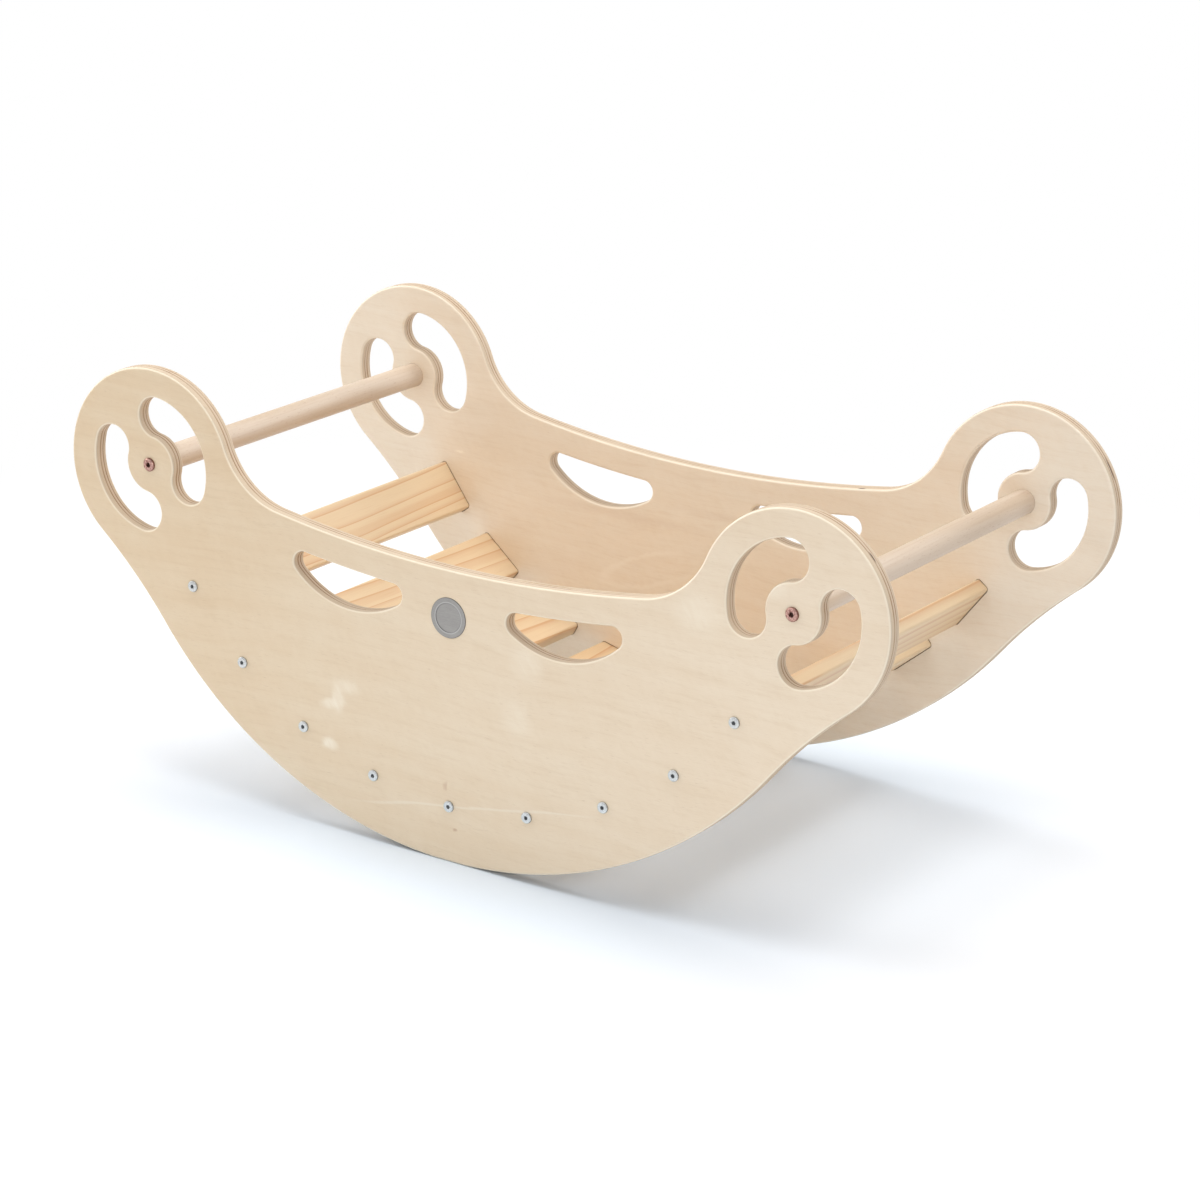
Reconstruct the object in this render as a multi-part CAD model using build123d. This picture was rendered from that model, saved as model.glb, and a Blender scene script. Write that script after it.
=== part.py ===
from build123d import *
import math
import os

# A child's climbing arch, standing on its rockers. X runs along it, Y across it from panel to panel and
# Z up; the origin is on the floor under the middle.

# The panel's outline, drawn to fixed shares of its length
overall_length = 1000.0
rocker_radius = 0.4795 * overall_length
standing_flat = 0.04 * overall_length
hip_radius = 0.5755 * overall_length
lobe_radius = 0.1065 * overall_length
lobe_z = 0.3485 * overall_length
neck_radius = 0.0905 * overall_length
rail_radius = 1.3905 * overall_length
rail_z = 0.3135 * overall_length

# The panels
clear_width = 450.0
ply = 18.0
edge_round = 3.0

# The bars and the bosses that carry them
bar_diameter = 27.0
bar_clearance = 0.2
boss_wall = 17.8
boss_rise = 2.5

# The two bean-shaped openings round each boss
bean_width = 42.8
bean_bearing = 214.2
bean_half_span = 48.1

# The hand holes under the rail
hand_hole_x = 0.1265 * overall_length
hand_hole_drop = 67.5
hand_hole_belly = 105.0
hand_hole_corner = 12.0
rail_depth = 31.0

# The slats, evenly spaced on an arc about the rockers' centre
slat_count = 9
slat_angle = 13.3
slat_inset = 61.1
slat_width = 60.0
slat_thickness = 16.0
slat_edge_round = 3.0
slat_end_relief = 0.2
pocket_depth = 6.0
pocket_clearance = 0.8
pocket_corner = 4.5

# The slat screws
screw_head_diameter = 12.0
screw_head_height = 2.2
screw_head_round = 1.2
screw_socket = 4.0
screw_diameter = 5.0
screw_core = 3.4
screw_pitch = 2.5
screw_plain = 15.0
screw_length = 55.0
screw_tip = 5.0

# The bar bolts and the threaded inserts that they screw into
bolt_head_diameter = 14.5
bolt_head_height = 2.6
bolt_head_bevel = 1.2
bolt_socket = 5.0
bolt_diameter = 6.0
bolt_core = 5.0
bolt_pitch = 1.0
bolt_plain = 13.0
bolt_length = 30.0
insert_diameter = 10.0
insert_core = 8.4
insert_pitch = 2.5
insert_length = 20.0

# The badge, let into the front panel
badge_x = -5.0
badge_drop = 50.5
badge_diameter = 42.5
badge_thickness = 1.6
badge_recess = 1.0
badge_rim = 6.0
badge_dish = 0.5
badge_clearance = 0.2

# Clearance round a shank in its panel, round a thread in what it bites, and past a screw's tip
hole_clearance = 0.25
thread_clearance = 0.05
tip_clearance = 1.0
socket_depth_share = 0.8

# Derived positions
inner_y = clear_width / 2
outer_y = inner_y + ply
seat_y = inner_y + pocket_depth
lobe_x = overall_length / 2 - lobe_radius
rocker_centre = (0.0, math.sqrt(rocker_radius**2 - (standing_flat / 2) ** 2))
rail_centre = (0.0, rail_z + rail_radius)
lobe_centre = (-lobe_x, lobe_z)
boss_z = lobe_z + boss_rise
boss_centre = (-lobe_x, boss_z)
boss_radius = bar_diameter / 2 + boss_wall
hand_hole_centre = (-hand_hole_x, rail_z - hand_hole_drop + hand_hole_belly)
slat_arc_radius = rocker_radius - slat_inset
badge_z = rail_z - badge_drop


def polar(centre, radius, bearing):
    """The (x, z) point at a radius and a bearing in degrees from a centre."""
    a = math.radians(bearing)
    return (centre[0] + radius * math.cos(a), centre[1] + radius * math.sin(a))


def bearing_of(centre, point):
    """The bearing in degrees, 0 to 360, of a point from a centre."""
    return math.degrees(math.atan2(point[1] - centre[1], point[0] - centre[0])) % 360


def crossings(centre_a, radius_a, centre_b, radius_b):
    """The two points where two circles cross."""
    gap = math.dist(centre_a, centre_b)
    along = (gap**2 + radius_a**2 - radius_b**2) / (2 * gap)
    swing = math.degrees(math.acos(along / radius_a))
    heading = bearing_of(centre_a, centre_b)
    return [polar(centre_a, radius_a, heading + side * swing) for side in (-1, 1)]


def arc(centre, radius, start, end, y):
    """An arc in the plane at y, from one bearing to the other the way the numbers run."""
    points = [polar(centre, radius, b) for b in (start, (start + end) / 2, end)]
    return Edge.make_three_point_arc(*[Vector(x, y, z) for x, z in points])


def flipped(edges):
    """The edges' mirror images in the middle plane, x = 0."""
    return [edge.mirror(Plane.YZ) for edge in edges]


def slab(edges, y, depth):
    """The closed loop of edges at y, pushed along Y by depth."""
    return Solid.extrude(Face(Wire(edges)), Vector(0, depth, 0))


def outline(y):
    """The panel's outline: a rocker with a short flat to stand on, a lobe at each end and a hollow rail."""
    hip = min(
        crossings(rocker_centre, rocker_radius + hip_radius, lobe_centre, lobe_radius + hip_radius),
        key=lambda p: p[1],
    )
    neck = max(
        crossings(rail_centre, rail_radius - neck_radius, lobe_centre, lobe_radius + neck_radius),
        key=lambda p: p[0],
    )
    flat_start = bearing_of(rocker_centre, (-standing_flat / 2, 0))
    rocker_end = bearing_of(rocker_centre, hip)
    rail_end = bearing_of(rail_centre, neck)
    lobe_start = bearing_of(lobe_centre, neck)
    half = [
        arc(rocker_centre, rocker_radius, rocker_end, flat_start, y),
        arc(hip, hip_radius, rocker_end - 180, bearing_of(hip, lobe_centre), y),
        arc(lobe_centre, lobe_radius, lobe_start, bearing_of(lobe_centre, hip), y),
        arc(neck, neck_radius, lobe_start - 180, rail_end - 360, y),
    ]
    flat = Edge.make_line(Vector(-standing_flat / 2, y, 0), Vector(standing_flat / 2, y, 0))
    rail = arc(rail_centre, rail_radius, rail_end, 540 - rail_end, y)
    return [flat, rail] + half + flipped(half)


def bean(bearing, y):
    """One of the two openings that curl round the left lobe's boss: a curved slot with round ends."""
    start = bearing - bean_half_span
    end = bearing + bean_half_span
    round_end = bean_width / 2
    middle = boss_radius + round_end
    return [
        arc(boss_centre, boss_radius, start, end, y),
        arc(boss_centre, boss_radius + bean_width, start, end, y),
        arc(polar(boss_centre, middle, start), round_end, start - 180, start, y),
        arc(polar(boss_centre, middle, end), round_end, end, end + 180, y),
    ]


def hand_hole(y):
    """The left hand hole: a bellied lower edge, a top edge that follows the rail, and round corners."""
    top_radius = rail_radius + rail_depth
    corners = sorted(
        crossings(
            rail_centre,
            top_radius + hand_hole_corner,
            hand_hole_centre,
            hand_hole_belly - hand_hole_corner,
        )
    )
    tops = [bearing_of(rail_centre, c) for c in corners]
    bellies = [bearing_of(hand_hole_centre, c) for c in corners]
    return [
        arc(rail_centre, top_radius, tops[0], tops[1], y),
        arc(hand_hole_centre, hand_hole_belly, bellies[0], bellies[1], y),
        arc(corners[0], hand_hole_corner, tops[0] - 180, bellies[0], y),
        arc(corners[1], hand_hole_corner, bellies[1], tops[1] + 180, y),
    ]


def slat_place(i):
    """Where slat i is: its turn about Y and its centre, counted from the left."""
    turn = (i - (slat_count - 1) / 2) * slat_angle
    x, z = polar(rocker_centre, slat_arc_radius, turn - 90)
    return Pos(x, 0, z) * Rot(0, -turn, 0)


def along_y(shape):
    """A shape drawn along +Z, turned to run along +Y."""
    return Rot(-90, 0, 0) * shape


def cylinder_y(diameter, start, length):
    """A cylinder along +Y from a start."""
    return along_y(Pos(0, 0, start + length / 2) * Cylinder(diameter / 2, length))


def hexagon_y(across_flats, start, length):
    """A six-sided bar along +Y from a start, for a socket."""
    flat = RegularPolygon(across_flats / 2, 6, major_radius=False)
    return along_y(Pos(0, 0, start) * extrude(flat, length))


def threaded(crest, core, pitch, start, length):
    """A rod along +Y with a ridge at each pitch, from a start."""
    turns = int(length / pitch)
    spare = (length - turns * pitch) / 2
    profile = [(0, start), (core / 2, start), (core / 2, start + spare)]
    for n in range(turns):
        foot = start + spare + n * pitch
        profile += [(crest / 2, foot + pitch / 2), (core / 2, foot + pitch)]
    profile += [(core / 2, start + length), (0, start + length)]
    points = [p for n, p in enumerate(profile) if n == 0 or math.dist(p, profile[n - 1]) > 1e-6]
    return revolve(make_face(Polyline(*points, close=True)), Axis.Y)


def slat_pocket(i):
    """The pocket for slat i in the front panel's inner face."""
    room = 2 * pocket_clearance
    flat = RectangleRounded(slat_width + room, slat_thickness + room, pocket_corner)
    return slat_place(i) * Pos(0, -seat_y, 0) * along_y(extrude(flat, pocket_depth))


def front_panel():
    """The front panel: ply with every edge rounded, bored for its screws and routed for slats and bars."""
    panel = slab(outline(-outer_y), -outer_y, ply)
    for loop in (
        bean(bean_bearing, -outer_y),
        bean(bean_bearing - 180, -outer_y),
        hand_hole(-outer_y),
    ):
        panel -= slab(loop, -outer_y, ply)
        panel -= slab(flipped(loop), -outer_y, ply)
    face_edges = panel.edges().filter_by(Axis.Y, reverse=True)
    panel = fillet(face_edges, edge_round)
    for i in range(slat_count):
        panel -= slat_pocket(i)
        panel -= slat_place(i) * cylinder_y(screw_diameter + 2 * hole_clearance, -outer_y, ply)
    for x in (-lobe_x, lobe_x):
        at_boss = Pos(x, 0, boss_z)
        panel -= at_boss * cylinder_y(bar_diameter + 2 * bar_clearance, -seat_y, pocket_depth)
        panel -= at_boss * cylinder_y(bolt_diameter + 2 * hole_clearance, -outer_y, ply)
    return panel


def plank(length, relief):
    """A board along Y with rounded long edges, dressed down all round by the relief."""
    board = Box(slat_width - 2 * relief, length, slat_thickness - 2 * relief)
    return fillet(board.edges().filter_by(Axis.Y), slat_edge_round - relief)


def slat(i):
    """Slat i: planed pine, its ends dressed down to enter their pockets and drilled for the screws."""
    board = plank(clear_width, 0) + plank(2 * seat_y, slat_end_relief)
    pilot_depth = screw_length - (ply - pocket_depth) + tip_clearance
    pilot = cylinder_y(screw_diameter + 2 * thread_clearance, -seat_y, pilot_depth)
    board -= pilot
    board -= mirror(pilot, Plane.XZ)
    return slat_place(i) * board


def bar():
    """A grab bar, bored at each end for an insert and for the end of its bolt."""
    rod = cylinder_y(bar_diameter, -seat_y, 2 * seat_y)
    wide = cylinder_y(insert_diameter + 2 * thread_clearance, -seat_y, insert_length)
    narrow = cylinder_y(bolt_diameter + 2 * hole_clearance, -seat_y, insert_length + tip_clearance)
    hole = wide + narrow
    return rod - hole - mirror(hole, Plane.XZ)


def insert():
    """A threaded insert, flush with the front end of a bar."""
    body = threaded(insert_diameter, insert_core, insert_pitch, -seat_y, insert_length)
    return body - cylinder_y(bolt_diameter + 2 * thread_clearance, -seat_y, insert_length)


def slat_screw():
    """A button-headed wood screw with a hexagon socket, driven from the front."""
    head = cylinder_y(screw_head_diameter, -outer_y - screw_head_height, screw_head_height)
    head = fillet(head.edges().group_by(Axis.Y)[0], screw_head_round)
    plain = cylinder_y(screw_diameter, -outer_y, screw_plain)
    thread_length = screw_length - screw_plain - screw_tip
    thread = threaded(screw_diameter, screw_core, screw_pitch, -outer_y + screw_plain, thread_length)
    tip_start = -outer_y + screw_length - screw_tip
    tip = along_y(Pos(0, 0, tip_start + screw_tip / 2) * Cone(screw_core / 2, screw_core / 8, screw_tip))
    socket = hexagon_y(screw_socket, -outer_y - screw_head_height, screw_head_height * socket_depth_share)
    return head + plain + thread + tip - socket


def bar_bolt():
    """A flat-headed furniture bolt with a bevelled rim and a hexagon socket, driven from the front."""
    head = cylinder_y(bolt_head_diameter, -outer_y - bolt_head_height, bolt_head_height)
    head = chamfer(head.edges().group_by(Axis.Y)[0], bolt_head_bevel)
    plain = cylinder_y(bolt_diameter, -outer_y, bolt_plain)
    thread = threaded(
        bolt_diameter, bolt_core, bolt_pitch, -outer_y + bolt_plain, bolt_length - bolt_plain
    )
    socket = hexagon_y(bolt_socket, -outer_y - bolt_head_height, bolt_head_height * socket_depth_share)
    return head + plain + thread - socket


def badge():
    """A bare metal disc with a raised rim, let into the front panel."""
    back = -outer_y + badge_recess
    disc = cylinder_y(badge_diameter, back - badge_thickness, badge_thickness)
    dish_diameter = badge_diameter - 2 * badge_rim
    dish = cylinder_y(dish_diameter, back - badge_thickness, badge_dish)
    disc = disc - dish
    rims = disc.edges().filter_by(GeomType.CIRCLE).group_by(Axis.Y)[0]
    disc = chamfer(rims, badge_dish / 2)
    return Pos(badge_x, 0, badge_z) * disc


front = front_panel()
back = mirror(front, Plane.XZ)
recess = cylinder_y(badge_diameter + 2 * badge_clearance, -outer_y, badge_recess)
front -= Pos(badge_x, 0, badge_z) * recess

screws = [slat_place(i) * slat_screw() for i in range(slat_count)]
bolts = [Pos(x, 0, boss_z) * bar_bolt() for x in (-lobe_x, lobe_x)]

nodes = {
    "side_panel_front": [front],
    "side_panel_back": [back],
    "slat_screws_front": screws,
    "slat_screws_back": [mirror(s, Plane.XZ) for s in screws],
    "bar_bolts_front": bolts,
    "bar_bolts_back": [mirror(b, Plane.XZ) for b in bolts],
    "badge": [badge()],
}
for i in range(slat_count):
    nodes[f"slat_{i + 1}"] = [slat(i)]
for side, x in (("left", -lobe_x), ("right", lobe_x)):
    at_boss = Pos(x, 0, boss_z)
    nodes[f"bar_{side}"] = [at_boss * bar()]
    nodes[f"bar_inserts_{side}"] = [at_boss * insert(), at_boss * mirror(insert(), Plane.XZ)]

os.makedirs("parts", exist_ok=True)
for node, solids in nodes.items():
    shape = solids[0] if len(solids) == 1 else Compound(children=solids)
    export_step(shape, f"parts/{node}.step")
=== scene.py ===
import math
import bpy
from mathutils import Matrix, Vector
from mathutils.geometry import tessellate_polygon


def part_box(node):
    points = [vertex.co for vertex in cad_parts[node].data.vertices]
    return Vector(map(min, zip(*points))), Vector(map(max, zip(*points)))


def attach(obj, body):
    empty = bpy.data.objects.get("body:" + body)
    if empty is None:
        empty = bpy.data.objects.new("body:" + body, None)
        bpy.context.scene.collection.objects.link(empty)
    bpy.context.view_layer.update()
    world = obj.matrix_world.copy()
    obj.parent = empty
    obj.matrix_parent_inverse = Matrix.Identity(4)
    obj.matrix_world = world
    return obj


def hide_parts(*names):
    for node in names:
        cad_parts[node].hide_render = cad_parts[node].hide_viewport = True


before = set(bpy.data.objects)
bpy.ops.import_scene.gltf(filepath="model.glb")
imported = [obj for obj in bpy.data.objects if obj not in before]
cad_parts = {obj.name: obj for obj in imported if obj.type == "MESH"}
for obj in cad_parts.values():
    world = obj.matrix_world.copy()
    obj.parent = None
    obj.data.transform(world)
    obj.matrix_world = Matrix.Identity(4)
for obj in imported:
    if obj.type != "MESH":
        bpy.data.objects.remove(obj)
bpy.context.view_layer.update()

# Side panels.
# Two panels of 18 mm birch plywood, cut to one outline and mirror images of each other. Every edge is
# rounded over, and each slat and bar end sits in a shallow routed seat in the inner face.

panel_low, panel_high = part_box("side_panel_front")
overall_length = panel_high[0] - panel_low[0]
outer_y = -panel_low[1]
inner_y = -panel_high[1]
ply = outer_y - inner_y
edge_round = 0.003
pocket_depth = 0.006
seat_y = inner_y + pocket_depth

rocker_radius = 0.4795 * overall_length
standing_flat = 0.04 * overall_length
hip_radius = 0.5755 * overall_length
lobe_radius = 0.1065 * overall_length
lobe_z = 0.3485 * overall_length
neck_radius = 0.0905 * overall_length
rail_radius = 1.3905 * overall_length
rail_z = 0.3135 * overall_length
lobe_x = overall_length / 2 - lobe_radius
rocker_centre = (0.0, math.sqrt(rocker_radius**2 - (standing_flat / 2) ** 2))
rail_centre = (0.0, rail_z + rail_radius)
lobe_centre = (-lobe_x, lobe_z)

bar_low, bar_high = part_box("bar_left")
bar_radius = (bar_high[2] - bar_low[2]) / 2
bar_clearance = 0.0002
boss_z = (bar_high[2] + bar_low[2]) / 2
boss_centre = (-lobe_x, boss_z)
boss_radius = bar_radius + 0.0178
bean_width = 0.0428
bean_bearing = 214.2
bean_half_span = 48.1

hand_hole_belly = 0.105
hand_hole_corner = 0.012
hand_hole_centre = (-0.1265 * overall_length, rail_z - 0.0675 + hand_hole_belly)
rail_depth = 0.031

slat_count = 9
slat_angle = 13.3
slat_arc_radius = rocker_radius - 0.0611
slat_width = 0.060
slat_thickness = 0.016
slat_edge_round = 0.003
pocket_clearance = 0.0008
pocket_corner = 0.0045
screw_hole_radius = 0.00275
bolt_hole_radius = 0.00325

badge_low, badge_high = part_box("badge")
badge_radius = (badge_high[0] - badge_low[0]) / 2
badge_centre = ((badge_low[0] + badge_high[0]) / 2, (badge_low[2] + badge_high[2]) / 2)
badge_clearance = 0.0002
badge_recess = 0.001


def polar(centre, radius, bearing):
    """The (x, z) point at a radius and a bearing in degrees from a centre."""
    a = math.radians(bearing)
    return (centre[0] + radius * math.cos(a), centre[1] + radius * math.sin(a))


def bearing_of(centre, point):
    """The bearing in degrees, 0 to 360, of a point from a centre."""
    return math.degrees(math.atan2(point[1] - centre[1], point[0] - centre[0])) % 360


def crossings(centre_a, radius_a, centre_b, radius_b):
    """The two points where two circles cross."""
    gap = math.dist(centre_a, centre_b)
    along = (gap**2 + radius_a**2 - radius_b**2) / (2 * gap)
    swing = math.degrees(math.acos(along / radius_a))
    heading = bearing_of(centre_a, centre_b)
    return [polar(centre_a, radius_a, heading + side * swing) for side in (-1, 1)]


def arc(centre, radius, start, end, hollow=False):
    """Points along an arc, each with its way out of the wood: off the centre, or to it where hollow."""
    sagitta = 0.00001
    step = math.degrees(2 * math.acos(1 - sagitta / radius))
    count = max(4, math.ceil(abs(end - start) / step))
    points = []
    for n in range(count + 1):
        a = math.radians(start + (end - start) * n / count)
        out = Vector((math.cos(a), math.sin(a)))
        points.append((Vector(centre) + radius * out, -out if hollow else out))
    return points


def loop(*arcs):
    """One closed line through the arcs, run so that the wood lies on its left as the front sees it."""
    same_place = 1e-6
    points = []
    for point in [p for stretch in arcs for p in stretch]:
        if not points or (point[0] - points[-1][0]).length > same_place:
            points.append(point)
    if (points[0][0] - points[-1][0]).length < same_place:
        points.pop()
    way = points[1][0] - points[0][0]
    if way.y * points[0][1].x - way.x * points[0][1].y < 0:
        points.reverse()
    return points


def flipped(line):
    """The line's mirror image in the middle plane, x = 0."""
    image = [(Vector((-p.x, p.y)), Vector((-n.x, n.y))) for p, n in line]
    return image[::-1]


def drawn_in(line, distance):
    """The line moved into the wood by a distance."""
    return [(p - n * distance, n) for p, n in line]


def outline():
    """The panel's outline: a rocker with a short flat to stand on, a lobe at each end and a hollow rail."""
    hip = min(
        crossings(rocker_centre, rocker_radius + hip_radius, lobe_centre, lobe_radius + hip_radius),
        key=lambda p: p[1],
    )
    neck = max(
        crossings(rail_centre, rail_radius - neck_radius, lobe_centre, lobe_radius + neck_radius),
        key=lambda p: p[0],
    )
    flat_start = bearing_of(rocker_centre, (-standing_flat / 2, 0))
    rocker_end = bearing_of(rocker_centre, hip)
    rail_end = bearing_of(rail_centre, neck)
    lobe_start = bearing_of(lobe_centre, neck)
    left = (
        arc(rocker_centre, rocker_radius, flat_start, rocker_end)
        + arc(hip, hip_radius, rocker_end - 180, bearing_of(hip, lobe_centre), hollow=True)
        + arc(lobe_centre, lobe_radius, bearing_of(lobe_centre, hip), lobe_start)
        + arc(neck, neck_radius, lobe_start - 180, rail_end - 360, hollow=True)
    )
    rail = arc(rail_centre, rail_radius, rail_end, 540 - rail_end, hollow=True)
    return loop(left, rail, flipped(left))


def bean(bearing):
    """One of the two openings that curl round the left lobe's boss: a curved slot with round ends."""
    start = bearing - bean_half_span
    end = bearing + bean_half_span
    round_end = bean_width / 2
    middle = boss_radius + round_end
    return loop(
        arc(boss_centre, boss_radius, start, end),
        arc(polar(boss_centre, middle, end), round_end, end + 180, end, hollow=True),
        arc(boss_centre, boss_radius + bean_width, end, start, hollow=True),
        arc(polar(boss_centre, middle, start), round_end, start, start - 180, hollow=True),
    )


def hand_hole():
    """The left hand hole: a bellied lower edge, a top edge that follows the rail, and round corners."""
    top_radius = rail_radius + rail_depth
    corners = sorted(
        crossings(
            rail_centre,
            top_radius + hand_hole_corner,
            hand_hole_centre,
            hand_hole_belly - hand_hole_corner,
        )
    )
    tops = [bearing_of(rail_centre, c) for c in corners]
    bellies = [bearing_of(hand_hole_centre, c) for c in corners]
    return loop(
        arc(rail_centre, top_radius, tops[1], tops[0]),
        arc(corners[0], hand_hole_corner, tops[0] - 180, bellies[0], hollow=True),
        arc(hand_hole_centre, hand_hole_belly, bellies[0], bellies[1], hollow=True),
        arc(corners[1], hand_hole_corner, bellies[1], tops[1] + 180, hollow=True),
    )


def slat_turn(i):
    """How far slat i is turned about the rockers' centre, in degrees."""
    return (i - (slat_count - 1) / 2) * slat_angle


def round_hole(centre, radius):
    """A round hole's edge."""
    return loop(arc(centre, radius, 0, 360, hollow=True))


def round_cornered(width, height, corner, hollow=False):
    """A rectangle with round corners about the middle."""
    spots = [(1, 1, 0), (-1, 1, 90), (-1, -1, 180), (1, -1, 270)]
    return loop(
        *[
            arc((sx * (width / 2 - corner), sz * (height / 2 - corner)), corner, b, b + 90, hollow)
            for sx, sz, b in spots
        ]
    )


def slat_pocket(i):
    """The edge of the pocket for slat i."""
    room = 2 * pocket_clearance
    turn = Matrix.Rotation(math.radians(slat_turn(i)), 2)
    place = Vector(polar(rocker_centre, slat_arc_radius, slat_turn(i) - 90))
    flat = round_cornered(slat_width + room, slat_thickness + room, pocket_corner, hollow=True)
    return [(turn @ p + place, turn @ n) for p, n in flat]


class Blank:
    """A piece of the arch in the making: lines of points across Y, joined by skins, closed by sheets."""

    def __init__(self):
        self.corners = {}
        self.faces = []

    def corner(self, point, y):
        key = (round(point.x, 7), round(y, 7), round(point.y, 7))
        return self.corners.setdefault(key, len(self.corners))

    def skin(self, *stations):
        """Joins each station to the next, front to back: a station is a line, its y and its lean."""
        for front, rear in zip(stations, stations[1:]):
            for i in range(len(front[0])):
                j = (i + 1) % len(front[0])
                face = []
                for (line, y, lean), n in ((front, i), (rear, i), (rear, j), (front, j)):
                    point, out = line[n]
                    c, s = math.cos(math.radians(lean)), math.sin(math.radians(lean))
                    face.append((self.corner(point, y), (out.x * c, s, out.y * c)))
                self.faces.append(face)

    def sheet(self, lines, y, toward):
        """Closes the room inside the first line, less the others, with a flat that faces toward."""
        sliver = 1e-12
        points = [p for line in lines for p, n in line]
        for triangle in tessellate_polygon([[p.to_3d() for p, n in line] for line in lines]):
            a, b, c = [points[n] for n in triangle]
            area = (b - a).cross(c - a)
            order = (a, b, c) if area * toward < 0 else (a, c, b)
            if abs(area) > sliver:
                self.faces.append([(self.corner(p, y), (0.0, toward, 0.0)) for p in order])

    def piece(self, name, material, mirrored=False, crease=None):
        """The finished mesh as an object; mirrored makes its twin on the far side of y = 0."""
        side = -1 if mirrored else 1
        faces = [f[::-1] for f in self.faces] if mirrored else self.faces
        mesh = bpy.data.meshes.new(name)
        places = [(x, side * y, z) for x, y, z in self.corners]
        mesh.from_pydata(places, [], [[index for index, n in face] for face in faces])
        mesh.polygons.foreach_set("use_smooth", [True] * len(mesh.polygons))
        if crease is None:
            mesh.normals_split_custom_set([(n[0], side * n[1], n[2]) for face in faces for k, n in face])
        else:
            mesh.set_sharp_from_angle(angle=math.radians(crease))
        mesh.materials.append(material)
        made = bpy.data.objects.new(name, mesh)
        bpy.context.scene.collection.objects.link(made)
        return made


class Wire:
    """A node's output. A sum on it adds Math nodes, and make adds any other node."""

    def __init__(self, tree, socket=None):
        self.tree = tree
        self.socket = socket

    def make(self, kind, settings=(), values=(), out=0):
        """Adds a node: its settings first, then its sockets' values and wires. Gives the named output."""
        node = self.tree.nodes.new(kind)
        for name, value in dict(settings).items():
            setattr(node, name, value)
        for key, value in dict(values).items():
            socket = self.pick(node.inputs, key)
            if isinstance(value, Wire):
                self.tree.links.new(value.socket, socket)
            else:
                socket.default_value = value
        if isinstance(out, tuple):
            return [Wire(self.tree, self.pick(node.outputs, o)) for o in out]
        return Wire(self.tree, self.pick(node.outputs, out)) if len(node.outputs) else None

    @staticmethod
    def pick(sockets, key):
        if isinstance(key, int):
            return sockets[key]
        return next(s for s in sockets if key in (s.identifier, s.name) and s.enabled)

    def sum(self, operation, *others):
        return self.make("ShaderNodeMath", {"operation": operation}, enumerate((self,) + others))

    def __add__(self, other):
        return self.sum("ADD", other)

    def __sub__(self, other):
        return self.sum("SUBTRACT", other)

    def __rsub__(self, other):
        return self.make("ShaderNodeMath", {"operation": "SUBTRACT"}, {0: other, 1: self})

    def __mul__(self, other):
        return self.sum("MULTIPLY", other)

    def __truediv__(self, other):
        return self.sum("DIVIDE", other)

    def __abs__(self):
        return self.sum("ABSOLUTE")

    __radd__ = __add__
    __rmul__ = __mul__

    def away(self, other):
        """The distance that this part and another at right angles to it make."""
        return (self * self + other * other).sum("SQRT")

    def rise(self, low, high, bottom=0.0, top=1.0):
        """An eased step from bottom to top as the value goes from low to high."""
        return self.make(
            "ShaderNodeMapRange",
            {"interpolation_type": "SMOOTHSTEP"},
            {"Value": self, "From Min": low, "From Max": high, "To Min": bottom, "To Max": top},
        )

    def blend(self, first, second):
        """The first colour where the value is 0 and the second where it is 1."""
        return self.make(
            "ShaderNodeMix",
            {"data_type": "RGBA"},
            {"Factor_Float": self, "A_Color": first, "B_Color": second},
            "Result_Color",
        )

    def noise(self, at, scale, detail=2.0, rough=0.5):
        """Smooth noise from 0 to 1 at a place, stretched by a scale along each axis."""
        place = self.make("ShaderNodeMapping", {}, {"Vector": at, "Scale": scale})
        return self.make(
            "ShaderNodeTexNoise",
            {"noise_dimensions": "3D"},
            {"Vector": place, "Scale": 1.0, "Detail": detail, "Roughness": rough},
        )

    def axes(self):
        """A vector's three parts."""
        return self.make("ShaderNodeSeparateXYZ", {}, {"Vector": self}, ("X", "Y", "Z"))

    def vector(self, x, y, z):
        """A vector from three parts."""
        return self.make("ShaderNodeCombineXYZ", {}, {"X": x, "Y": y, "Z": z})


def tint(red, green, blue):
    """A colour as it is seen, each part 0 to 255, in the render's own linear scale."""
    parts = [c / 255 for c in (red, green, blue)]
    linear = [c / 12.92 if c <= 0.04045 else ((c + 0.055) / 1.055) ** 2.4 for c in parts]
    return (*linear, 1.0)


def new_finish(name):
    """A material with an empty tree, and the wire to build it from."""
    material = bpy.data.materials.new(name)
    material.use_nodes = True
    material.node_tree.nodes.clear()
    return material, Wire(material.node_tree)


def coat(wire, colour, roughness, height=None, relief=0.0, **constants):
    """The surface itself: a colour, a roughness, a fine relief in metres, and constants by socket name."""
    values = {"Base Color": colour, "Roughness": roughness}
    values.update({name.replace("_", " "): value for name, value in constants.items()})
    if height is not None:
        values["Normal"] = wire.make(
            "ShaderNodeBump", {}, {"Height": height, "Distance": relief, "Strength": 1.0}
        )
    surface = wire.make("ShaderNodeBsdfPrincipled", {}, values)
    wire.make("ShaderNodeOutputMaterial", {}, {"Surface": surface})


def spot(x, z, middle, reach):
    """A soft-edged patch on a face: 1 at its middle, 0 beyond its reach along X and Z."""
    off_x = (x - middle[0]) / reach[0]
    off_z = (z - middle[1]) / reach[1]
    return 1 - off_x.away(off_z).rise(0.25, 1.0)


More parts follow.
